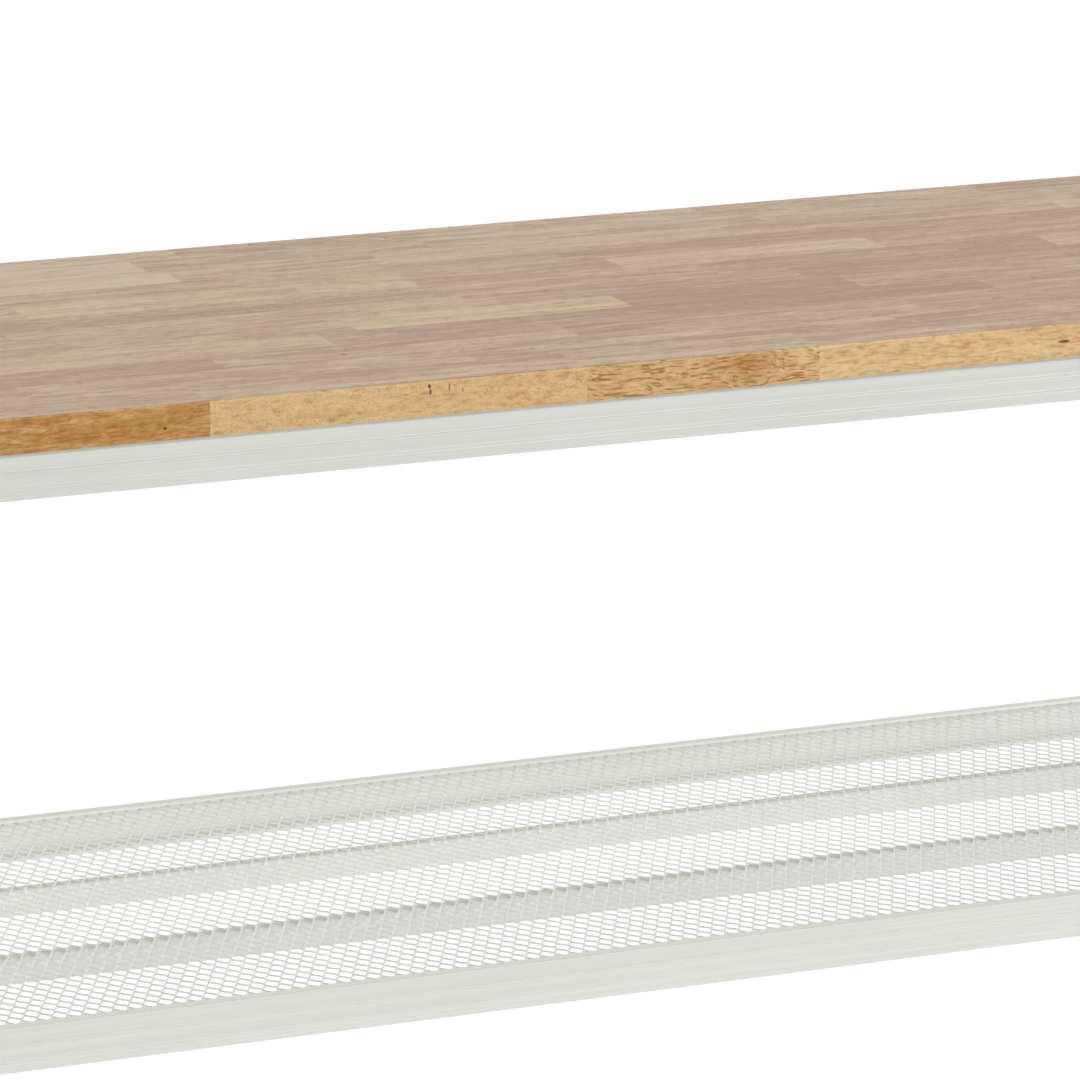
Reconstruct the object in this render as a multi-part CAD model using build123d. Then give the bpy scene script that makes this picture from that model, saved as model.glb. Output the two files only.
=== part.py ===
from build123d import *
import os

# Entryway bench, in millimetres. +Z is up, -Y is the front, and +X is the right seen from the front.
# The origin is on the floor under the middle of the bench.

# Seat board
seat_length = 1100.0
seat_depth = 360.0
seat_height = 450.0
board_thickness = 18.0
board_front_overhang = 3.0
board_end_overhang = 5.0
board_edge_radius = 1.0

# Ribbed channel, the section of every rail
rail_height = 23.0
rail_lip = 7.0
rail_wall = 1.5
rail_edge_radius = 0.8
bead_radius = 0.5
bead_stand_out = 0.3
bead_pitch = 1.65
upper_beads_drop = 9.4
lower_beads_drop = 17.3

# Shelf deck and the tubes that carry it
shelf_height = 147.5
mesh_thickness = 1.8
mesh_edge_gap = 0.5
support_width = 8.0
support_wall = 1.2
support_lip_gap = 5.0
front_support_inset = 122.0
support_pitch = 113.0

# Legs
leg_size = 25.0
leg_wall = 1.5
leg_corner_radius = 3.0
leg_lip_gap = 0.5

# Leg bolts, and the rivet nuts in the legs that they turn into
bolt_radius = 3.0
bolt_length = 14.0
bolt_hole_gap = 0.3
bolt_head_radius = 5.25
bolt_head_height = 3.3
bolt_head_rounding = 2.2
bolt_socket_flats = 4.0
bolt_socket_depth = 2.0
thread_gap = 0.05
nut_radius = 4.5
nut_length = 12.0
nut_hole_gap = 0.05
nut_flange_radius = 6.5
nut_flange_height = 0.8

# Tabs welded to the seat rails, and the wood screws through them
tab_length = 24.0
tab_reach = 20.0
tab_thickness = 2.0
tab_corner_radius = 4.0
tab_end_inset = 95.0
screw_radius = 2.0
screw_grip = 12.0
screw_tip_length = 3.0
screw_tip_radius = 0.3
screw_hole_gap = 0.4
screw_head_radius = 4.0
screw_head_height = 2.6
screw_head_rounding = 1.6
screw_slot_width = 1.2
screw_slot_length = 4.4
screw_slot_depth = 1.4
pilot_end_gap = 0.5

# Levelling feet
plug_flange_height = 3.0
plug_depth = 18.0
plug_gap = 0.1
stem_radius = 4.0
stem_length = 34.0
stem_chamfer = 0.8
pad_radius = 13.5
pad_height = 7.0
pad_edge_radius = 1.5
pad_socket_depth = 4.0

# Places worked out from the sizes above
frame_length = seat_length - 2 * board_end_overhang
frame_depth = seat_depth - 2 * board_front_overhang
seat_rail_top = seat_height - board_thickness
mesh_top = shelf_height - rail_wall
support_top = mesh_top - mesh_thickness
support_height = rail_height - 2 * rail_wall - mesh_thickness - support_lip_gap
leg_bottom = pad_height + plug_flange_height
leg_length = seat_rail_top - leg_bottom
leg_x = frame_length / 2 - rail_wall - nut_flange_height - leg_size / 2
leg_y = frame_depth / 2 - rail_wall - leg_size / 2
lip_end_x = leg_x - leg_size / 2 - leg_lip_gap
lip_end_y = leg_y - leg_size / 2 - leg_lip_gap
bolt_heights = [top - rail_height / 2 for top in (seat_rail_top, shelf_height)]
tab_x = frame_length / 2 - tab_end_inset
screw_y = frame_depth / 2 - rail_lip - tab_reach / 2

corners = {
    "front_left": (-1, -1),
    "front_right": (1, -1),
    "back_left": (-1, 1),
    "back_right": (1, 1),
}
nodes = {}


def rail_section():
    """The channel: outer face on X 0, lips towards +X, top on Y 0, beads on the outer face."""
    middle = -rail_height / 2
    outside = Pos(rail_lip / 2, middle) * Rectangle(rail_lip, rail_height)
    outside = fillet(outside.vertices().group_by(Axis.X)[0], rail_edge_radius)
    inside = Pos(rail_lip / 2 + rail_wall, middle) * Rectangle(rail_lip, rail_height - 2 * rail_wall)
    section = outside - inside
    for drop in (upper_beads_drop, lower_beads_drop):
        for offset in (-bead_pitch / 2, bead_pitch / 2):
            section += Pos(bead_radius - bead_stand_out, offset - drop) * Circle(bead_radius)
    return section


def mitred_rail(length, lip_end):
    """A rail along X with mitred ends, its outer face on Y 0 and its top on Z 0.

    The lips stop lip_end from the middle, to leave the corners free for the legs.
    """
    blank_length = length + 2 * bead_stand_out
    rail = extrude(Plane.YZ.offset(-blank_length / 2) * rail_section(), amount=blank_length)
    cut_length = length / 2 - lip_end + rail_lip
    for side in (-1, 1):
        mitre = Plane(origin=(side * length / 2, 0, 0), z_dir=(side, 1, 0))
        rail = split(rail, bisect_by=mitre, keep=Keep.BOTTOM)
        cut_centre = Pos(side * (lip_end + cut_length / 2), rail_wall + rail_lip / 2, -rail_height / 2)
        rail -= cut_centre * Box(cut_length, rail_lip, 2 * rail_height)
    return rail


def end_rail():
    """A short rail with a clearance hole for each leg's bolt."""
    rail = mitred_rail(frame_depth, lip_end_y)
    for side in (-1, 1):
        hole_centre = Pos(side * leg_y, 0, -rail_height / 2) * Rot(90, 0, 0)
        rail -= hole_centre * Cylinder(bolt_radius + bolt_hole_gap, 4 * rail_wall)
    return rail


def add_frame(name, top):
    """Four mitred rails round the bench with their tops at one height."""
    long_rail = Pos(0, -frame_depth / 2, top) * mitred_rail(frame_length, lip_end_x)
    short_rail = Pos(0, -frame_length / 2, top) * end_rail()
    nodes[f"{name}_front_rail"] = long_rail
    nodes[f"{name}_back_rail"] = Rot(0, 0, 180) * long_rail
    nodes[f"{name}_right_rail"] = Rot(0, 0, 90) * short_rail
    nodes[f"{name}_left_rail"] = Rot(0, 0, -90) * short_rail


def bolt_places(heights):
    """A place on the end rails' outer face for each leg bolt, with local +Z pointing outwards."""
    return [
        Pos(x_side * frame_length / 2, y_side * leg_y, height) * Rot(0, 90 * x_side, 0)
        for x_side, y_side in corners.values()
        for height in heights
    ]


def leg_bolt():
    """A button-head bolt: the underside of its head on Z 0, its shank below."""
    head = Pos(0, 0, bolt_head_height / 2) * Cylinder(bolt_head_radius, bolt_head_height)
    head = fillet(head.edges().group_by(Axis.Z)[-1], bolt_head_rounding)
    socket = extrude(RegularPolygon(bolt_socket_flats / 2, 6, major_radius=False), bolt_socket_depth)
    shank = Pos(0, 0, -bolt_length / 2) * Cylinder(bolt_radius, bolt_length)
    return head - Pos(0, 0, bolt_head_height - bolt_socket_depth) * socket + shank


def rivet_nut():
    """A flanged sleeve: the outside of its flange on Z 0, its body below."""
    flange = Pos(0, 0, -nut_flange_height / 2) * Cylinder(nut_flange_radius, nut_flange_height)
    body_centre = Pos(0, 0, -nut_flange_height - nut_length / 2)
    nut = flange + body_centre * Cylinder(nut_radius, nut_length)
    return nut - Cylinder(bolt_radius + thread_gap, 4 * nut_length)


def add_leg_fasteners():
    """Bolts through the end rails into rivet nuts in the legs."""
    places = bolt_places(bolt_heights)
    bolts = [place * Pos(0, 0, bead_stand_out) * leg_bolt() for place in places]
    nuts = [place * Pos(0, 0, -rail_wall) * rivet_nut() for place in places]
    nodes["leg_bolts"] = Compound(children=bolts)
    nodes["leg_rivet_nuts"] = Compound(children=nuts)


def add_legs():
    """Square tubes in the corners of both frames, drilled for their rivet nuts."""
    outside = RectangleRounded(leg_size, leg_size, leg_corner_radius)
    bore_size = leg_size - 2 * leg_wall
    inside = RectangleRounded(bore_size, bore_size, leg_corner_radius - leg_wall)
    tube = extrude(outside - inside, leg_length)
    wall_depth = rail_wall + nut_flange_height + leg_wall / 2
    for corner, (x_side, y_side) in corners.items():
        leg = Pos(x_side * leg_x, y_side * leg_y, leg_bottom) * tube
        for height in bolt_heights:
            hole = Pos(x_side * (frame_length / 2 - wall_depth), y_side * leg_y, height) * Rot(0, 90, 0)
            leg -= hole * Cylinder(nut_radius + nut_hole_gap, 2 * leg_wall)
        nodes[f"{corner}_leg"] = leg


def add_deck():
    """The shelf's deck as a plain sheet, notched round the legs, and the two tubes under it."""
    deck_length = frame_length - 2 * rail_wall - 2 * mesh_edge_gap
    deck_depth = frame_depth - 2 * rail_wall - 2 * mesh_edge_gap
    deck = Rectangle(deck_length, 2 * lip_end_y) + Rectangle(2 * lip_end_x, deck_depth)
    nodes["shelf_mesh"] = Pos(0, 0, support_top) * extrude(deck, mesh_thickness)

    tube = Rectangle(support_width, support_height)
    tube -= Rectangle(support_width - 2 * support_wall, support_height - 2 * support_wall)
    tube_length = frame_length - 2 * rail_wall
    support = extrude(Plane.YZ.offset(-tube_length / 2) * tube, amount=tube_length)
    front_y = front_support_inset - frame_depth / 2
    middle_height = support_top - support_height / 2
    nodes["shelf_front_support"] = Pos(0, front_y, middle_height) * support
    nodes["shelf_back_support"] = Pos(0, front_y + support_pitch, middle_height) * support


def board_screw():
    """A pan-head wood screw, point up: the underside of its head on Z 0."""
    head = Pos(0, 0, -screw_head_height / 2) * Cylinder(screw_head_radius, screw_head_height)
    head = fillet(head.edges().group_by(Axis.Z)[0], screw_head_rounding)
    slot_centre = Pos(0, 0, screw_slot_depth / 2 - screw_head_height)
    for angle in (0, 90):
        head -= slot_centre * Rot(0, 0, angle) * Box(screw_slot_length, screw_slot_width, screw_slot_depth)
    shank_length = tab_thickness + screw_grip - screw_tip_length
    shank = Pos(0, 0, shank_length / 2) * Cylinder(screw_radius, shank_length)
    tip_centre = Pos(0, 0, shank_length + screw_tip_length / 2)
    return head + shank + tip_centre * Cone(screw_radius, screw_tip_radius, screw_tip_length)


def screw_places():
    """The plan position of each board screw, by the name of its tab."""
    columns = {"left": -tab_x, "middle": 0, "right": tab_x}
    rows = {"front": -screw_y, "back": screw_y}
    return {
        f"{row}_{column}": (x, y)
        for row, y in rows.items()
        for column, x in columns.items()
    }


def add_board():
    """The seat board, the tabs under its edges and the screws up through them."""
    board = Pos(0, 0, seat_height - board_thickness / 2) * Box(seat_length, seat_depth, board_thickness)
    board = fillet(board.edges(), board_edge_radius)
    pilot_depth = screw_grip + pilot_end_gap
    screws = []
    for name, (x, y) in screw_places().items():
        board -= Pos(x, y, seat_rail_top + pilot_depth / 2) * Cylinder(screw_radius + thread_gap, pilot_depth)
        tab = Rectangle(tab_length, tab_reach)
        free_edge = Axis.Y if y < 0 else -Axis.Y
        tab = fillet(tab.vertices().group_by(free_edge)[-1], tab_corner_radius)
        tab -= Circle(screw_radius + screw_hole_gap)
        nodes[f"board_tab_{name}"] = Pos(x, y, seat_rail_top - tab_thickness) * extrude(tab, tab_thickness)
        screws.append(Pos(x, y, seat_rail_top - tab_thickness) * board_screw())
    nodes["seat_board"] = board
    nodes["board_screws"] = Compound(children=screws)


def leg_plug():
    """A square plug for a leg's lower end, flange down, bored through for the foot's stem."""
    flange = extrude(RectangleRounded(leg_size, leg_size, leg_corner_radius), plug_flange_height)
    size = leg_size - 2 * leg_wall - 2 * plug_gap
    body = extrude(RectangleRounded(size, size, leg_corner_radius - leg_wall), plug_depth)
    plug = flange + Pos(0, 0, plug_flange_height) * body
    return plug - Cylinder(stem_radius + thread_gap, 4 * plug_depth)


def foot_stem():
    """The threaded stem, from the floor of the pad's socket up into the leg."""
    stem = Pos(0, 0, pad_height - pad_socket_depth + stem_length / 2) * Cylinder(stem_radius, stem_length)
    return chamfer(stem.edges().group_by(Axis.Z)[-1], stem_chamfer)


def foot_pad():
    """The round plastic pad that stands on the floor, moulded on to the stem."""
    pad = Pos(0, 0, pad_height / 2) * Cylinder(pad_radius, pad_height)
    pad = fillet(pad.edges().group_by(Axis.Z)[0] + pad.edges().group_by(Axis.Z)[-1], pad_edge_radius)
    return pad - Pos(0, 0, pad_height - pad_socket_depth / 2) * Cylinder(stem_radius, pad_socket_depth)


def add_feet():
    """A plug, a stem and a pad for each leg, screwed in as far as they go."""
    for corner, (x_side, y_side) in corners.items():
        centre = Pos(x_side * leg_x, y_side * leg_y, 0)
        nodes[f"{corner}_leg_plug"] = centre * Pos(0, 0, pad_height) * leg_plug()
        nodes[f"{corner}_foot_stem"] = centre * foot_stem()
        nodes[f"{corner}_foot_pad"] = centre * foot_pad()


add_frame("seat", seat_rail_top)
add_frame("shelf", shelf_height)
add_legs()
add_leg_fasteners()
add_deck()
add_board()
add_feet()

os.makedirs("parts", exist_ok=True)
for node, shape in nodes.items():
    export_step(shape, f"parts/{node}.step")
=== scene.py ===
import math
import random

import bmesh
import bpy
from bpy.props import FloatProperty, FloatVectorProperty, IntProperty, PointerProperty
from mathutils import Matrix, Vector


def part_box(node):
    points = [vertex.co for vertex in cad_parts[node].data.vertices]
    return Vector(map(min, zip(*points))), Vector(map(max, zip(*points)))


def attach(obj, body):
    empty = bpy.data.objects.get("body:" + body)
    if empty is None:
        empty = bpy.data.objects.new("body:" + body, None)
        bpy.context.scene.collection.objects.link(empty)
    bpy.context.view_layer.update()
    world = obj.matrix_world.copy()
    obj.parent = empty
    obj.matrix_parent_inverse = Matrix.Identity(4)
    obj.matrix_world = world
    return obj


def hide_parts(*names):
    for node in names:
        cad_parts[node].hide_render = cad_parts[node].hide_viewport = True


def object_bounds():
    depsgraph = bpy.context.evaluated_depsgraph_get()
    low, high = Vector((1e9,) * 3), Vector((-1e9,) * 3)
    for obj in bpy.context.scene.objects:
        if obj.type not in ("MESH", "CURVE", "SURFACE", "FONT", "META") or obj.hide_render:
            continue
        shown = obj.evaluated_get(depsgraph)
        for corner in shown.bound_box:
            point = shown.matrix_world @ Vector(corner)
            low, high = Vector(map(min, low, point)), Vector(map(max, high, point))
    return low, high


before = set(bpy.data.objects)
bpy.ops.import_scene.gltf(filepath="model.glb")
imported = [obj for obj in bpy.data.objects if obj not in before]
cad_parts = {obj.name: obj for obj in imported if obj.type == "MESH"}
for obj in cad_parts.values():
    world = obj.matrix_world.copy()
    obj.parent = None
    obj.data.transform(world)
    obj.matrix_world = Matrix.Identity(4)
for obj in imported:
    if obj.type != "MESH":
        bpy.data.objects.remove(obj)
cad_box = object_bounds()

bl_info = {
    "name": "Entryway Bench",
    "version": (1, 0, 0),
    "blender": (4, 5, 0),
    "location": "3D View > Sidebar > Bench",
    "description": "Wood, expanded-metal deck, paint and studio for a steel-framed entryway bench",
    "category": "Object",
}

MM = 0.001
CORNERS = ("front_left", "front_right", "back_left", "back_right")
SIDES = ("front", "back", "left", "right")

# The staves of each row of the seat board, front row first: where a stave ends to the right, in
# millimetres from the middle, then how pale, pink and yellow it is, from 0 to 1, and how streaky.
# Rows run on past these with staves drawn at random.
STAVE_ROWS = (
    (
        (-173, 0.55, 0.4, 0.0, 0.0), (24, 0.55, 0.2, 0.2, 0.0), (150, 0.52, 0.3, 0.2, 0.0),
        (372, 0.38, 0.4, 0.1, 0.0),
    ),
    (
        (-250, 0.52, 0.4, 0.0, 0.0), (-20, 0.50, 0.4, 0.1, 0.0), (214, 0.50, 0.4, 0.1, 0.0),
        (290, 0.25, 0.5, 0.0, 0.1),
    ),
    (
        (-140, 0.16, 0.5, 0.0, 0.1), (50, 0.50, 0.5, 0.0, 0.0), (238, 0.48, 0.9, 0.0, 0.0),
        (440, 0.45, 0.5, 0.0, 0.0),
    ),
    (
        (-70, 0.72, 0.3, 0.3, 0.0), (110, 0.14, 0.3, 0.1, 0.5), (296, 0.10, 0.6, 0.0, 0.8),
        (480, 0.45, 0.5, 0.0, 0.0),
    ),
    (
        (-47, 0.58, 0.3, 0.3, 0.0), (104, 0.74, 0.0, 0.9, 0.0), (234, 0.14, 0.9, 0.0, 0.1),
        (420, 0.45, 0.4, 0.2, 0.0),
    ),
    (
        (-215, 0.52, 0.3, 0.2, 0.0), (32, 0.60, 0.3, 0.2, 0.0), (218, 0.40, 0.6, 0.0, 0.1),
        (400, 0.20, 0.6, 0.0, 0.2),
    ),
    (
        (-260, 0.50, 0.3, 0.2, 0.2), (29, 0.40, 0.3, 0.0, 0.8), (180, 0.50, 0.8, 0.0, 0.0),
        (324, 0.36, 0.7, 0.0, 0.1), (378, 0.10, 0.6, 0.0, 0.1),
    ),
    (
        (-190, 0.55, 0.5, 0.2, 0.0), (24, 0.82, 0.1, 0.6, 0.0), (140, 0.38, 0.6, 0.0, 0.1),
        (291, 0.85, 0.6, 0.0, 0.0), (470, 0.42, 0.6, 0.0, 0.1),
    ),
    (
        (-60, 0.56, 0.5, 0.0, 0.2), (121, 0.56, 0.2, 0.4, 0.0), (350, 0.32, 0.7, 0.0, 0.2),
        (520, 0.42, 0.5, 0.0, 0.0),
    ),
    (
        (-86, 1.00, 0.3, 0.2, 0.1), (30, 0.62, 0.4, 0.2, 0.0), (232, 0.68, 0.2, 0.4, 0.1),
        (430, 0.54, 0.5, 0.1, 0.1),
    ),
    (
        (-94, 1.00, 0.3, 0.2, 0.1), (68, 0.54, 0.5, 0.0, 0.1), (262, 0.56, 0.4, 0.1, 0.3),
        (450, 0.55, 0.4, 0.1, 0.0),
    ),
    (
        (-64, 0.80, 0.4, 0.0, 0.1), (58, 0.40, 0.5, 0.0, 0.1), (240, 0.56, 0.3, 0.1, 0.0),
        (410, 0.50, 0.4, 0.1, 0.0),
    ),
)
# The front row's staves as the board's front edge shows them: paleness, pinkness, yellowness, then
# the strength of the bands, streaks and speckles.
FRONT_EDGE = (
    (0.22, 0.2, 1.0, 0.4, 0.7, 0.2),
    (0.76, 0.0, 0.2, 0.16, 0.0, 1.0),
    (0.66, 0.0, 0.1, 0.25, 1.0, 0.1),
    (0.82, 0.0, 0.2, 0.2, 0.4, 0.1),
)
# Pin knots, borer holes and dark vessels: the middle and the reach along X, Y and Z, in millimetres,
# and how strong they are.
PIN_KNOTS = (
    ((-59.5, -180.0, 447.4), (0.8, 0.8, 1.2), 1.0),
    ((-59.0, -180.0, 444.6), (0.7, 0.8, 1.6), 0.9),
    ((-49.0, -180.0, 446.2), (0.5, 0.8, 2.2), 0.7),
    ((-42.0, -180.0, 444.2), (0.5, 0.8, 1.4), 0.5),
    ((286.5, -180.0, 441.0), (3.4, 0.8, 0.8), 0.9),
    ((-196.0, -180.0, 438.5), (0.9, 0.8, 0.9), 0.9),
    ((-75.0, -106.0, 450.0), (1.8, 2.6, 0.8), 0.7),
    ((16.0, -130.0, 450.0), (1.6, 1.8, 0.8), 0.5),
    ((-107.0, 127.0, 450.0), (20.0, 0.9, 0.8), 0.5),
    ((146.0, 129.0, 450.0), (12.0, 0.9, 0.8), 0.4),
    ((266.0, 163.0, 450.0), (12.0, 0.9, 0.8), 0.5),
    ((-82.0, 7.0, 450.0), (44.0, 1.6, 0.8), 0.25),
)
# A burl in the front edge that the grain bows round, in millimetres.
BURL_MIDDLE = (113.0, -180.0, 441.0)
BURL_REACH = (20.0, 12.0, 14.0)
# How much paler the rounded top arris of the front edge is painted, a painted highlight where its rounding
# catches the light, and how far the underside's bare wood covers the stave's colour.
ARRIS_PAINTED_HIGHLIGHT = 0.4
BARE_SHARE = 0.85
# Rows and end staves reach this far past the board, to take in the faces that lie on its outside.
EDGE_SLACK = 1 * MM


# Settings that a user would change

class BenchWoodSettings(bpy.types.PropertyGroup):
    """The glued seat board."""

    stave_width: FloatProperty(
        name="Stave width", description="Width of a row of staves", default=30 * MM, unit="LENGTH"
    )
    first_stave_width: FloatProperty(
        name="Front stave width", description="Width of the front row", default=35 * MM, unit="LENGTH"
    )
    shortest_stave: FloatProperty(
        name="Shortest stave", description="Shortest stave drawn", default=150 * MM, unit="LENGTH"
    )
    longest_stave: FloatProperty(
        name="Longest stave", description="Longest stave drawn", default=260 * MM, unit="LENGTH"
    )
    edge_rounding: FloatProperty(
        name="Edge rounding", description="Radius of the board's edges", default=1 * MM, unit="LENGTH"
    )
    seed: IntProperty(name="Seed", description="Draws the grain of each stave", default=7)
    pale: FloatVectorProperty(
        name="Pale", description="Palest wood", default=(0.96, 0.71, 0.39), subtype="COLOR"
    )
    dark: FloatVectorProperty(
        name="Dark", description="Darkest wood", default=(0.51, 0.22, 0.035), subtype="COLOR"
    )
    pore: FloatVectorProperty(
        name="Pore", description="Pores and speckles", default=(0.42, 0.15, 0.02), subtype="COLOR"
    )
    streak: FloatVectorProperty(
        name="Streak",
        description="Dark lines of figured staves",
        default=(0.40, 0.14, 0.015),
        subtype="COLOR",
    )
    knot: FloatVectorProperty(
        name="Knot", description="Pin knots and borer holes", default=(0.13, 0.045, 0.01), subtype="COLOR"
    )
    bare: FloatVectorProperty(
        name="Bare", description="Bare wood of the underside", default=(0.80, 0.74, 0.64), subtype="COLOR"
    )


class BenchDeckSettings(bpy.types.PropertyGroup):
    """The expanded-metal deck of the shelf."""

    diamond_length: FloatProperty(
        name="Diamond length", description="Pitch across the shelf", default=15.68 * MM, unit="LENGTH"
    )
    diamond_width: FloatProperty(
        name="Diamond width", description="Pitch along the shelf", default=7.84 * MM, unit="LENGTH"
    )
    bond_length: FloatProperty(
        name="Bond length", description="Length of a joint between strands", default=2.2 * MM, unit="LENGTH"
    )
    strand_width: FloatProperty(
        name="Strand width", description="Width of a strand", default=0.80 * MM, unit="LENGTH"
    )
    strand_thickness: FloatProperty(
        name="Strand thickness", description="Thickness of the sheet", default=0.75 * MM, unit="LENGTH"
    )
    strand_rise: FloatProperty(
        name="Strand rise", description="Height of a tilted strand's edge", default=0.35 * MM, unit="LENGTH"
    )
    leg_gap: FloatProperty(
        name="Leg gap", description="Space round the legs", default=0.5 * MM, unit="LENGTH"
    )


class BenchPaintSettings(bpy.types.PropertyGroup):
    """The frame's powder coat and the feet's plastic."""

    coat: FloatVectorProperty(
        name="Powder coat", description="White of the frame", default=(0.87, 0.878, 0.828), subtype="COLOR"
    )
    deck_coat: FloatVectorProperty(
        name="Deck coat", description="White of the deck", default=(0.83, 0.85, 0.84), subtype="COLOR"
    )
    zinc: FloatVectorProperty(
        name="Zinc", description="Plated fasteners", default=(0.66, 0.67, 0.68), subtype="COLOR"
    )
    plastic: FloatVectorProperty(
        name="Plastic", description="Plugs and foot pads", default=(0.17, 0.17, 0.17), subtype="COLOR"
    )


class BenchStudioSettings(bpy.types.PropertyGroup):
    """Floor, light and camera."""

    floor: FloatVectorProperty(
        name="Floor", description="Colour of the floor", default=(0.35, 0.35, 0.35), subtype="COLOR"
    )
    floor_glow: FloatProperty(name="Floor glow", description="Light of the floor behind", default=0.86)
    near_glow: FloatProperty(name="Near glow", description="Light of the floor in front", default=0.14)
    glow_start: FloatProperty(
        name="Glow start", description="Y where the floor starts to glow", default=-0.65, unit="LENGTH"
    )
    glow_end: FloatProperty(
        name="Glow end", description="Y where the floor glows in full", default=-0.06, unit="LENGTH"
    )
    floor_drop: FloatProperty(
        name="Floor drop",
        description="How far the floor lies below the feet at rest, so that feet screwed out stay in sight",
        default=10 * MM,
        unit="LENGTH",
    )
    floor_size: FloatProperty(name="Floor size", description="Side of the floor", default=40.0, unit="LENGTH")
    horizon_light: FloatProperty(name="Horizon light", description="Light from low walls", default=1.15)
    ceiling_light: FloatProperty(name="Ceiling light", description="Light from overhead", default=0.0)
    key_azimuth: FloatProperty(
        name="Key azimuth",
        description="Softbox's turn to the right",
        default=math.radians(35),
        subtype="ANGLE",
    )
    key_elevation: FloatProperty(
        name="Key elevation", description="Softbox's lift", default=math.radians(30), subtype="ANGLE"
    )
    key_distance: FloatProperty(
        name="Key distance", description="Softbox to the bench", default=6.0, unit="LENGTH"
    )
    key_width: FloatProperty(name="Key width", description="Softbox's width", default=2.6, unit="LENGTH")
    key_height: FloatProperty(name="Key height", description="Softbox's height", default=1.2, unit="LENGTH")
    key_power: FloatProperty(name="Key power", description="Softbox's power", default=113.0, unit="POWER")
    azimuth: FloatProperty(
        name="Azimuth", description="Camera's turn to the left", default=math.radians(23.09), subtype="ANGLE"
    )
    elevation: FloatProperty(
        name="Elevation", description="Camera's lift", default=math.radians(13.62), subtype="ANGLE"
    )
    distance: FloatProperty(
        name="Distance", description="Camera to the bench's front", default=3.372, unit="LENGTH"
    )
    aim_height: FloatProperty(
        name="Aim height", description="Height the camera looks at", default=0.3644, unit="LENGTH"
    )
    lens: FloatProperty(name="Lens", description="Focal length in millimetres", default=228.5)


# Shader maths

class Field:
    """A shader socket that takes part in Python arithmetic: each operation adds a Math node."""

    def __init__(self, finish, socket):
        self.finish = finish
        self.socket = socket

    def __add__(self, other):
        return self.finish.math("ADD", self, other)

    def __sub__(self, other):
        return self.finish.math("SUBTRACT", self, other)

    def __rsub__(self, other):
        return self.finish.math("SUBTRACT", other, self)

    def __mul__(self, other):
        return self.finish.math("MULTIPLY", self, other)

    __radd__ = __add__
    __rmul__ = __mul__


class Finish:
    """A material being made: its node tree and its Principled shader."""

    def __init__(self, name, roughness=0.5, metallic=0.0):
        self.material = bpy.data.materials.new(name)
        self.material.use_nodes = True
        self.tree = self.material.node_tree
        self.shader = self.tree.nodes["Principled BSDF"]
        self.shader.inputs["Roughness"].default_value = roughness
        self.shader.inputs["Metallic"].default_value = metallic

    def feed(self, socket, value):
        """Links a field to a socket, or sets the socket to a plain value."""
        if isinstance(value, Field):
            self.tree.links.new(value.socket, socket)
        elif socket.type == "RGBA" and len(value) == 3:
            socket.default_value = (*value, 1.0)
        else:
            socket.default_value = value

    def node(self, kind, settings=None, inputs=None, output=0):
        """Any node: its type, its settings, set first, and the values or links of its sockets."""
        made = self.tree.nodes.new(kind)
        for name, value in (settings or {}).items():
            if name == "stops":
                self.set_stops(made.color_ramp, value)
            else:
                setattr(made, name, value)
        for name, value in (inputs or {}).items():
            self.feed(made.inputs[name], value)
        return Field(self, made.outputs[output])

    def set_stops(self, ramp, stops):
        """Gives a colour ramp its stops, each a position and a colour."""
        while len(ramp.elements) < len(stops):
            ramp.elements.new(1.0)
        for element, (position, colour) in zip(ramp.elements, stops):
            element.position = position
            element.color = (*colour, 1.0)

    def math(self, operation, *values):
        return self.node("ShaderNodeMath", {"operation": operation}, dict(enumerate(values)))

    def step(self, value, low, high):
        """0 below low, 1 above high, and smooth between them."""
        settings = {"interpolation_type": "SMOOTHSTEP"}
        return self.node("ShaderNodeMapRange", settings, {"Value": value, "From Min": low, "From Max": high})

    def place(self):
        """Object coordinates in metres."""
        return self.node("ShaderNodeTexCoord", output="Object")

    def vector(self, operation, a, b):
        return self.node("ShaderNodeVectorMath", {"operation": operation}, {0: a, 1: b})

    def split(self, vector):
        """The X, Y and Z fields of a vector."""
        parts = self.tree.nodes.new("ShaderNodeSeparateXYZ")
        self.feed(parts.inputs[0], vector)
        return [Field(self, output) for output in parts.outputs]

    def join(self, x, y, z):
        return self.node("ShaderNodeCombineXYZ", {}, {0: x, 1: y, 2: z})

    def noise(self, vector, scale, detail=2.0, rough=0.5):
        """Noise from 0 to 1; scale is a number of cells to the metre along X, Y and Z."""
        stretched = self.vector("MULTIPLY", vector, scale)
        inputs = {"Vector": stretched, "Scale": 1.0, "Detail": detail, "Roughness": rough}
        return self.node("ShaderNodeTexNoise", {}, inputs)

    def mix(self, factor, first, second, blend="MIX"):
        settings = {"data_type": "RGBA", "blend_type": blend, "clamp_factor": True}
        return self.node("ShaderNodeMix", settings, {0: factor, 6: first, 7: second}, output=2)

    def bump(self, height, strength, distance):
        inputs = {"Height": height, "Strength": strength, "Distance": distance}
        self.feed(self.shader.inputs["Normal"], self.node("ShaderNodeBump", {}, inputs))

    def set(self, name, value):
        self.feed(self.shader.inputs[name], value)


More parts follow.
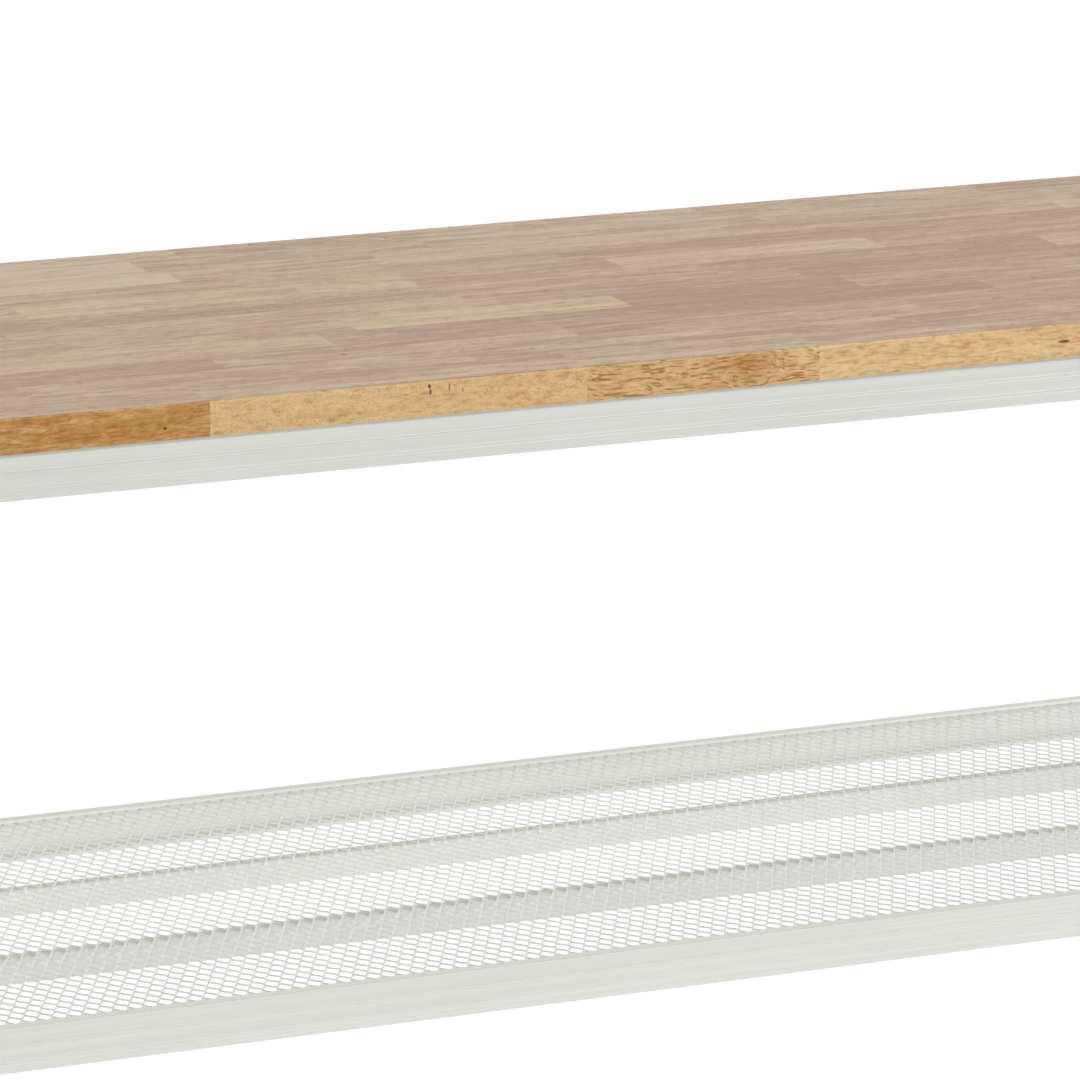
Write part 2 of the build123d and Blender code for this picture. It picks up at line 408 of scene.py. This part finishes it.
def rubberwood(wood):
    """Lacquered rubberwood. Each stave's faces carry their own shift, ring direction and looks."""
    finish = Finish("rubberwood")
    shift = attribute(finish, "stave_shift")
    cut = attribute(finish, "stave_cut")
    paleness, pinkness, yellowness = finish.split(attribute(finish, "stave_tint"))
    bands, streakiness, speckle = finish.split(attribute(finish, "stave_figure"))
    place = finish.vector("ADD", finish.place(), shift)

    # Grain that wanders a few millimetres sideways along the stave, and bows round the burl
    sway = finish.noise(place, (6.0, 24.0, 24.0), detail=1.0) - 0.5
    ripple = finish.noise(place, (32.0, 70.0, 70.0), detail=1.0) - 0.5
    burl = spot(finish, BURL_MIDDLE, BURL_REACH, core=0.0)
    height = finish.split(finish.place())[2] - BURL_MIDDLE[2] * MM
    wander = sway * 0.024 + ripple * (0.004 + streakiness * 0.005) - height * burl * 0.7
    grain = finish.vector("ADD", place, finish.join(0.0, wander, wander))

    # Growth rings cross the stave's cut; bands, streaks and pores run along the grain
    across = finish.node("ShaderNodeVectorMath", {"operation": "DOT_PRODUCT"}, {0: grain, 1: cut}, "Value")
    ring_inputs = {"W": across * 300.0, "Scale": 1.0, "Detail": 2.0, "Roughness": 0.6}
    rings = finish.node("ShaderNodeTexNoise", {"noise_dimensions": "1D"}, ring_inputs) - 0.5
    drift = finish.noise(grain, (2.5, 70.0, 70.0), detail=3.0) - 0.5
    growth = finish.noise(grain, (7.0, 130.0, 130.0), detail=3.0) - 0.5
    cloud = finish.noise(place, (24.0, 75.0, 75.0), detail=3.0) - 0.5
    streaks = finish.noise(grain, (22.0, 190.0, 190.0), detail=5.0, rough=0.75) - 0.5
    flecks = finish.noise(grain, (150.0, 430.0, 430.0), detail=4.0, rough=0.75) - 0.5
    lines = finish.noise(grain, (75.0, 1000.0, 1000.0), detail=2.0, rough=0.6) - 0.5
    pores = finish.step(flecks, 0.04, 0.20)
    dots = finish.step(finish.noise(grain, (1000.0, 2200.0, 2200.0), detail=1.0), 0.50, 0.66)
    dashes = finish.step(lines + rings * 0.25, 0.0, 0.13)

    figure = rings * 0.7 + drift * 1.8 + growth * 1.8 + cloud * 0.6 + streaks * 3.6
    tone = paleness + bands * figure - flecks * 1.3 - burl * 0.3
    colour = finish.mix(finish.step(tone, -0.25, 1.35), wood.dark, wood.pale)
    blush = finish.step(pinkness + drift * 1.8 - growth * 1.4 - cloud * 1.2, -0.1, 1.1)
    colour = finish.mix(blush, colour, (1.02, 0.90, 0.90), blend="MULTIPLY")
    colour = finish.mix(yellowness, colour, (1.0, 1.02, 0.88), blend="MULTIPLY")
    colour = finish.mix(pores * 0.42, colour, wood.pore)
    colour = finish.mix(dots * speckle * 0.40, colour, wood.pore)
    colour = finish.mix(dashes * streakiness * 0.85, colour, wood.streak)
    colour = finish.mix(attribute(finish, "bare", output="Fac"), colour, wood.bare)
    for middle, reach, strength in PIN_KNOTS:
        colour = finish.mix(spot(finish, middle, reach) * strength, colour, wood.knot)
    finish.set("Base Color", colour)
    finish.set("Roughness", 0.34 + streaks * 0.12 + pores * 0.08)
    finish.bump(streaks * 0.5 - pores * 0.5, 0.25, 0.0002)
    return finish.material


def attribute(finish, name, output="Vector"):
    """The field of one of the attributes that the board's faces carry."""
    return finish.node("ShaderNodeAttribute", {"attribute_name": name}, output=output)


def spot(finish, middle, reach, core=0.65):
    """1 in the core of a small ellipsoid and 0 outside it. The middle and reach are in millimetres."""
    offset = finish.vector("SUBTRACT", finish.place(), tuple(value * MM for value in middle))
    scaled = finish.vector("DIVIDE", offset, tuple(value * MM for value in reach))
    length = finish.node("ShaderNodeVectorMath", {"operation": "LENGTH"}, {0: scaled}, "Value")
    return 1.0 - finish.step(length, core, 1.15)


def powder_coat(name, paint, line_scale):
    """White satin powder coat with the faint lengthwise drawing lines of rolled steel under it.

    The scale of the lines is in cells to the metre along X, Y and Z.
    """
    finish = Finish(name)
    place = finish.place()
    lines = finish.noise(place, line_scale, detail=3.0, rough=0.7) - 0.5
    haze = finish.noise(place, (9.0, 9.0, 60.0), detail=2.0) - 0.5
    peel = finish.noise(place, (900.0, 900.0, 900.0), detail=1.0) - 0.5
    shade = finish.step(lines + haze * 0.4 + 0.5, 0.2, 0.8)
    darker = tuple(value * 0.91 for value in paint.coat)
    finish.set("Base Color", finish.mix(shade, darker, paint.coat))
    finish.set("Roughness", 0.20 + haze * 0.10)
    finish.bump(peel * 0.6, 0.10, 0.0001)
    return finish.material


def deck_coat(paint):
    """The same coat on the expanded metal, thicker and smoother over its sheared strands."""
    finish = Finish("deck_coat")
    place = finish.place()
    lumps = finish.noise(place, (420.0, 420.0, 420.0), detail=2.0)
    darker = tuple(value * 0.92 for value in paint.deck_coat)
    finish.set("Base Color", finish.mix(lumps, darker, paint.deck_coat))
    finish.set("Roughness", 0.28 + lumps * 0.14)
    finish.bump(lumps, 0.2, 0.0001)
    return finish.material


def zinc_plate(paint):
    """Bright zinc on screws, rivet nuts and foot stems, faintly clouded."""
    finish = Finish("zinc_plate", metallic=1.0)
    place = finish.place()
    cloud = finish.noise(place, (260.0, 260.0, 260.0), detail=3.0)
    darker = tuple(value * 0.8 for value in paint.zinc)
    finish.set("Base Color", finish.mix(cloud, darker, paint.zinc))
    finish.set("Roughness", 0.26 + cloud * 0.2)
    finish.bump(cloud, 0.1, 0.0001)
    return finish.material


def moulded_plastic(paint):
    """Dark moulded plastic with a fine eroded grain, scuffed pale in places."""
    finish = Finish("moulded_plastic")
    place = finish.place()
    grain = finish.noise(place, (1600.0, 1600.0, 1600.0), detail=2.0)
    scuff = finish.step(finish.noise(place, (120.0, 120.0, 300.0), detail=3.0), 0.58, 0.75)
    paler = tuple(value * 1.6 for value in paint.plastic)
    finish.set("Base Color", finish.mix(scuff * 0.6, paint.plastic, paler))
    finish.set("Roughness", 0.5 + grain * 0.2)
    finish.bump(grain, 0.3, 0.0001)
    return finish.material


# Making pieces

def add_piece(name, bm, material, replaces, body="frame"):
    """Makes a mesh object from a bmesh, and ties it to the frame in place of a CAD node."""
    if not bm.faces:
        raise RuntimeError(f"{name} came out with no faces")
    mesh = bpy.data.meshes.new(name)
    bm.to_mesh(mesh)
    bm.free()
    piece = bpy.data.objects.new(name, mesh)
    bpy.context.scene.collection.objects.link(piece)
    mesh.materials.append(material)
    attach(piece, body)
    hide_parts(replaces)
    return piece


def finish_nodes(names, material):
    """Gives CAD nodes their material."""
    for name in names:
        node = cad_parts[name]
        for slot in node.material_slots:
            slot.material = material


def box_mesh(low, high):
    """A closed box between two corners."""
    bm = bmesh.new()
    bmesh.ops.create_cube(bm, size=1.0)
    bmesh.ops.scale(bm, vec=high - low, verts=bm.verts)
    bmesh.ops.translate(bm, vec=(low + high) / 2, verts=bm.verts)
    return bm


def cut_across(bm, faces, place, direction):
    """Divides some of a bmesh's faces along a plane."""
    edges = {edge for face in faces for edge in face.edges}
    verts = {vert for face in faces for vert in face.verts}
    geometry = list(faces) + list(edges) + list(verts)
    bmesh.ops.bisect_plane(bm, geom=geometry, dist=1e-7, plane_co=place, plane_no=direction)


# Seat board

def row_edges(wood, low, high):
    """The Y of each row's far edge, front row first."""
    edges = []
    y = low.y + wood.first_stave_width
    while len(edges) < len(STAVE_ROWS) - 1:
        edges.append(y)
        y += wood.stave_width
    return edges + [high.y + EDGE_SLACK]


def random_stave(end, draw):
    """A stave of no special note that ends at an X, in millimetres."""
    paleness = draw.uniform(0.4, 0.7)
    pinkness = draw.uniform(0.2, 0.7)
    yellowness = draw.uniform(0.0, 0.3)
    return (end, paleness, pinkness, yellowness, draw.choice((0.0, 0.1, 0.3)))


def row_staves(row, wood, low, high, draw):
    """A row's staves from left to right, with more drawn at both ends to fill the row."""
    shortest = wood.shortest_stave / MM
    longest = wood.longest_stave / MM
    staves = list(row)
    while staves[0][0] - longest > low.x / MM + shortest / 2:
        staves.insert(0, random_stave(staves[0][0] - draw.uniform(shortest, longest), draw))
    while staves[-1][0] < high.x / MM - shortest / 2:
        staves.append(random_stave(staves[-1][0] + draw.uniform(shortest, longest), draw))
    return staves


def stave_looks(stave, draw):
    """What a stave's faces carry: its shift, the direction of its rings, its tint and its figure."""
    _, paleness, pinkness, yellowness, streakiness = stave
    angle = draw.uniform(0.25, math.pi - 0.25)
    return (
        Vector((draw.uniform(-3, 3), draw.uniform(-3, 3), draw.uniform(-3, 3))),
        Vector((draw.uniform(-0.05, 0.05), math.cos(angle), math.sin(angle))),
        Vector((paleness, pinkness, yellowness)),
        Vector((draw.uniform(0.5, 0.8), streakiness, draw.choice((0.0, 0.1, 0.5)))),
    )


def seat_board_mesh(wood):
    """The board as one closed block whose faces are divided into staves."""
    low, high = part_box("seat_board")
    draw = random.Random(wood.seed)
    bm = box_mesh(low, high)
    bmesh.ops.bevel(
        bm, geom=bm.edges[:], offset=wood.edge_rounding, segments=3, profile=0.5, affect="EDGES", material=-1
    )
    rows = row_edges(wood, low, high)
    for y in rows[:-1]:
        cut_across(bm, bm.faces[:], (0, y, 0), (0, 1, 0))
    names = ("stave_shift", "stave_cut", "stave_tint", "stave_figure")
    layers = [bm.faces.layers.float_vector.new(name) for name in names]
    bare = bm.faces.layers.float.new("bare")

    near = low.y - EDGE_SLACK
    for far, row in zip(rows, STAVE_ROWS):
        staves = row_staves(row, wood, low, high, draw)
        for end, *_ in staves[:-1]:
            cut_across(bm, row_faces(bm, near, far), (end * MM, 0, 0), (1, 0, 0))
        faces = row_faces(bm, near, far)
        start = low.x - EDGE_SLACK
        for stave in staves:
            stop = high.x + EDGE_SLACK if stave is staves[-1] else stave[0] * MM
            looks = stave_looks(stave, draw)
            for face in faces:
                if start <= face.calc_center_median().x <= stop:
                    for layer, look in zip(layers, looks):
                        face[layer] = look
            start = stop
        if row is STAVE_ROWS[0]:
            set_front_edge(faces, row, layers[2], layers[3])
        for face in faces:
            if face.normal.z < -0.5:
                face[bare] = BARE_SHARE
        near = far
    return bm


def row_faces(bm, near, far):
    """The faces of a row of staves, whose edges lie at two Y."""
    return [face for face in bm.faces if near < face.calc_center_median().y < far]


def set_front_edge(faces, row, tint_layer, figure_layer):
    """Gives the looks of the front edge to the faces of the front row that look forwards, and paints a
    highlight on the rounded top arris.
    """
    for face in faces:
        middle = face.calc_center_median()
        for (end, *rest), looks in zip(row, FRONT_EDGE):
            if face.normal.y < -0.3 and middle.x < end * MM:
                paleness, pinkness, yellowness = looks[:3]
                # The upward-facing faces of the rounded top arris are painted paler: a painted highlight
                # where the rounding catches the light.
                arris = ARRIS_PAINTED_HIGHLIGHT if face.normal.z > 0.3 else 0.0
                face[tint_layer] = (paleness + arris, pinkness, yellowness)
                face[figure_layer] = looks[3:]
                break


class BENCH_OT_seat_board(bpy.types.Operator):
    """Make the glued seat board"""

    bl_idname = "bench.seat_board"
    bl_label = "Seat Board"

    def execute(self, context):
        wood = context.scene.bench_wood
        add_piece("seat_board_staves", seat_board_mesh(wood), rubberwood(wood), "seat_board")
        return {"FINISHED"}


# Shelf deck

def deck_cell(deck):
    """One opening of the expanded metal with half of each strand round it, centred on the origin.

    The strands of its right side rise and those of its left side fall, as in sheared metal.
    """
    half_width = deck.diamond_width / 2
    half_bond = deck.bond_length / 2
    tip = deck.diamond_length / 2 - half_bond
    slope = (tip - half_bond) / half_width
    inset = deck.strand_width / 2
    inner_tip = tip - inset * math.hypot(1, slope)
    inner_half_width = half_width - 2 * inset
    inner_half_bond = inner_tip - slope * inner_half_width
    rise = deck.strand_rise

    def hexagon(tip_y, side_x, side_y, side_z):
        corners = (
            (0, tip_y, 0), (side_x, side_y, side_z), (side_x, -side_y, side_z),
            (0, -tip_y, 0), (-side_x, -side_y, -side_z), (-side_x, side_y, -side_z),
        )
        verts = [bm.verts.new(corner) for corner in corners]
        return [bm.edges.new((verts[n - 1], verts[n])) for n in range(6)]

    bm = bmesh.new()
    outer = hexagon(tip, half_width, half_bond, 0.0)
    inner = hexagon(inner_tip, inner_half_width, inner_half_bond, rise)
    bmesh.ops.bridge_loops(bm, edges=outer + inner)
    return bm


def repeat(bm, step, count):
    """Repeats all of a bmesh count times along a step."""
    geometry = bm.verts[:] + bm.edges[:] + bm.faces[:]
    for number in range(1, count):
        copy = bmesh.ops.duplicate(bm, geom=geometry)["geom"]
        verts = [item for item in copy if isinstance(item, bmesh.types.BMVert)]
        bmesh.ops.translate(bm, vec=Vector(step) * number, verts=verts)


def trim(bm, place, direction):
    """Cuts away what lies beyond a plane."""
    geometry = bm.verts[:] + bm.edges[:] + bm.faces[:]
    bmesh.ops.bisect_plane(
        bm, geom=geometry, dist=1e-7, plane_co=place, plane_no=direction, clear_outer=True
    )


def notch(bm, corner, x_side, y_side):
    """Clears the sheet from a leg's corner outwards."""
    margin = 20 * MM
    faces = [f for f in bm.faces if x_side * f.calc_center_median().x > x_side * corner.x - margin]
    cut_across(bm, faces, corner, (1, 0, 0))
    faces = [f for f in bm.faces if y_side * f.calc_center_median().y > y_side * corner.y - margin]
    cut_across(bm, faces, corner, (0, 1, 0))

    def inside(face):
        middle = face.calc_center_median()
        return x_side * (middle.x - corner.x) > 0 and y_side * (middle.y - corner.y) > 0

    bmesh.ops.delete(bm, geom=[f for f in bm.faces if inside(f)], context="FACES")


def deck_mesh(deck, x_side):
    """Half of the deck, from the middle of the bench to one end, as a sheet with no thickness."""
    low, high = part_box("shelf_mesh")
    end = high.x if x_side > 0 else low.x
    bm = deck_cell(deck)
    columns = math.ceil(abs(end) / deck.diamond_width) + 1
    rows = math.ceil((high.y - low.y) / deck.diamond_length) + 2
    repeat(bm, (x_side * deck.diamond_width, 0, 0), columns)
    repeat(bm, (x_side * deck.diamond_width / 2, deck.diamond_length / 2, 0), 2)
    repeat(bm, (0, deck.diamond_length, 0), rows)
    start = (-x_side * deck.diamond_width / 2, low.y - deck.diamond_length, (low.z + high.z) / 2)
    bmesh.ops.translate(bm, vec=start, verts=bm.verts)
    bmesh.ops.remove_doubles(bm, verts=bm.verts, dist=1e-6)
    trim(bm, (0, 0, 0), (-x_side, 0, 0))
    trim(bm, (end, 0, 0), (x_side, 0, 0))
    trim(bm, (0, low.y, 0), (0, -1, 0))
    trim(bm, (0, high.y, 0), (0, 1, 0))
    for y_side, row in ((-1, "front"), (1, "back")):
        column = "right" if x_side > 0 else "left"
        leg_low, leg_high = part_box(f"{row}_{column}_leg")
        corner_x = leg_low.x if x_side > 0 else leg_high.x
        corner_y = leg_high.y if y_side < 0 else leg_low.y
        corner = Vector((corner_x - x_side * deck.leg_gap, corner_y - y_side * deck.leg_gap, 0))
        notch(bm, corner, x_side, y_side)
    bmesh.ops.recalc_face_normals(bm, faces=bm.faces)
    return bm


class BENCH_OT_shelf_deck(bpy.types.Operator):
    """Make the expanded-metal deck"""

    bl_idname = "bench.shelf_deck"
    bl_label = "Shelf Deck"

    def execute(self, context):
        deck = context.scene.bench_deck
        material = deck_coat(context.scene.bench_paint)
        for name, x_side in (("left", -1), ("right", 1)):
            piece = add_piece(
                f"deck_{name}_half", deck_mesh(deck, x_side), material, "shelf_mesh"
            )
            shell = piece.modifiers.new("sheet_thickness", "SOLIDIFY")
            shell.thickness = deck.strand_thickness
            shell.offset = 0.0
        return {"FINISHED"}


# Frame, fasteners and feet, which keep their CAD shapes

class BENCH_OT_frame_coat(bpy.types.Operator):
    """Powder coat the rails, legs, supports and tabs"""

    bl_idname = "bench.frame_coat"
    bl_label = "Frame Coat"

    def execute(self, context):
        paint = context.scene.bench_paint
        along, across = 2.0, 700.0
        level = powder_coat("powder_coat_level", paint, (along, along, across))
        upright = powder_coat("powder_coat_upright", paint, (across, across, along))
        rails = [f"{part}_{side}_rail" for part in ("seat", "shelf") for side in SIDES]
        legs = [f"{corner}_leg" for corner in CORNERS]
        supports = ["shelf_front_support", "shelf_back_support"]
        tabs = [f"board_tab_{row}_{column}" for row in SIDES[:2] for column in ("left", "middle", "right")]
        finish_nodes(rails + supports + tabs + ["leg_bolts"], level)
        finish_nodes(legs, upright)
        return {"FINISHED"}


class BENCH_OT_hardware(bpy.types.Operator):
    """Finish the screws, rivet nuts, plugs, stems and pads"""

    bl_idname = "bench.hardware"
    bl_label = "Hardware"

    def execute(self, context):
        paint = context.scene.bench_paint
        stems = [f"{corner}_foot_stem" for corner in CORNERS]
        plastics = [f"{corner}_{part}" for corner in CORNERS for part in ("leg_plug", "foot_pad")]
        finish_nodes(stems + ["board_screws", "leg_rivet_nuts"], zinc_plate(paint))
        finish_nodes(plastics, moulded_plastic(paint))
        return {"FINISHED"}


# Studio

def add_floor(studio):
    """A large plain floor, lit so that it reads as white beneath and behind the bench."""
    finish = Finish("studio_floor", roughness=0.9)
    finish.set("Base Color", tuple(studio.floor))
    glow = finish.step(finish.split(finish.place())[1], studio.glow_start, studio.glow_end)
    near, far = studio.near_glow, studio.floor_glow
    finish.set("Emission Color", finish.mix(glow, (near, near, near), (far, far, far)))
    finish.set("Emission Strength", 1.0)
    bm = bmesh.new()
    bmesh.ops.create_grid(bm, x_segments=1, y_segments=1, size=studio.floor_size / 2)
    mesh = bpy.data.meshes.new("studio_floor")
    bm.to_mesh(mesh)
    bm.free()
    mesh.materials.append(finish.material)
    mesh.transform(Matrix.Translation((0, 0, -studio.floor_drop)))
    floor = bpy.data.objects.new("studio_floor", mesh)
    bpy.context.scene.collection.objects.link(floor)


def add_sky(studio):
    """Soft light from all round, brightest near the horizon."""
    world = bpy.data.worlds.new("studio_light")
    bpy.context.scene.world = world
    world.use_nodes = True
    nodes, links = world.node_tree.nodes, world.node_tree.links
    direction = nodes.new("ShaderNodeTexCoord")
    height = nodes.new("ShaderNodeSeparateXYZ")
    ramp = nodes.new("ShaderNodeMapRange")
    ramp.interpolation_type = "SMOOTHERSTEP"
    ramp.inputs["From Min"].default_value = 0.12
    ramp.inputs["From Max"].default_value = 0.95
    ramp.inputs["To Min"].default_value = studio.horizon_light
    ramp.inputs["To Max"].default_value = studio.ceiling_light
    links.new(direction.outputs["Generated"], height.inputs[0])
    links.new(height.outputs["Z"], ramp.inputs["Value"])
    links.new(ramp.outputs["Result"], nodes["Background"].inputs["Strength"])
    nodes["Background"].inputs["Color"].default_value = (1.0, 1.0, 1.0, 1.0)


def add_key_softbox(studio):
    """A rectangular light to the right of the bench's front, facing it."""
    light = bpy.data.lights.new("key_softbox", "AREA")
    light.shape = "RECTANGLE"
    light.size = studio.key_width
    light.size_y = studio.key_height
    light.energy = studio.key_power
    target = Vector((0, 0, 0.3))
    turn = Matrix.Rotation(studio.key_azimuth, 3, "Z") @ Matrix.Rotation(-studio.key_elevation, 3, "X")
    away = turn @ Vector((0, -1, 0))
    softbox = bpy.data.objects.new("key_softbox", light)
    softbox.location = target + away * studio.key_distance
    softbox.rotation_euler = (-away).to_track_quat("-Z", "Y").to_euler()
    bpy.context.scene.collection.objects.link(softbox)


def add_camera(studio):
    """The camera, to the left of the bench's front and a little above it."""
    low, high = cad_box
    across = math.cos(studio.elevation)
    away = Vector((
        -math.sin(studio.azimuth) * across,
        -math.cos(studio.azimuth) * across,
        math.sin(studio.elevation),
    ))
    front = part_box("seat_front_rail")[0].y
    aim = Vector(((low.x + high.x) / 2, front, studio.aim_height))
    camera = bpy.data.objects.new("camera", bpy.data.cameras.new("camera"))
    camera.data.lens = studio.lens
    camera.location = aim + away * studio.distance
    camera.rotation_euler = (-away).to_track_quat("-Z", "Y").to_euler()
    bpy.context.scene.collection.objects.link(camera)
    bpy.context.scene.camera = camera


class BENCH_OT_stage(bpy.types.Operator):
    """Set the floor, the light and the camera"""

    bl_idname = "bench.stage"
    bl_label = "Stage"

    def execute(self, context):
        studio = context.scene.bench_studio
        add_floor(studio)
        add_sky(studio)
        add_key_softbox(studio)
        add_camera(studio)
        context.scene.view_settings.view_transform = "Standard"
        return {"FINISHED"}


class BENCH_PT_sidebar(bpy.types.Panel):
    """Buttons for each piece and its settings"""

    bl_label = "Entryway Bench"
    bl_idname = "BENCH_PT_sidebar"
    bl_space_type = "VIEW_3D"
    bl_region_type = "UI"
    bl_category = "Bench"

    def draw(self, context):
        for operator in OPERATORS:
            self.layout.operator(operator.bl_idname)
        for group_name, group in SETTINGS.items():
            box = self.layout.box()
            for setting in group.__annotations__:
                box.prop(getattr(context.scene, group_name), setting)


OPERATORS = (
    BENCH_OT_stage,
    BENCH_OT_seat_board,
    BENCH_OT_shelf_deck,
    BENCH_OT_frame_coat,
    BENCH_OT_hardware,
)
SETTINGS = {
    "bench_wood": BenchWoodSettings,
    "bench_deck": BenchDeckSettings,
    "bench_paint": BenchPaintSettings,
    "bench_studio": BenchStudioSettings,
}


def register():
    for group_name, group in SETTINGS.items():
        bpy.utils.register_class(group)
        setattr(bpy.types.Scene, group_name, PointerProperty(type=group))
    for operator in OPERATORS:
        bpy.utils.register_class(operator)
    bpy.utils.register_class(BENCH_PT_sidebar)


def unregister():
    bpy.utils.unregister_class(BENCH_PT_sidebar)
    for operator in reversed(OPERATORS):
        bpy.utils.unregister_class(operator)
    for group_name, group in SETTINGS.items():
        delattr(bpy.types.Scene, group_name)
        bpy.utils.unregister_class(group)


def main():
    """Makes the whole bench and its stage."""
    register()
    bpy.ops.bench.stage()
    bpy.ops.bench.seat_board()
    bpy.ops.bench.shelf_deck()
    bpy.ops.bench.frame_coat()
    bpy.ops.bench.hardware()


if __name__ == "__main__":
    main()
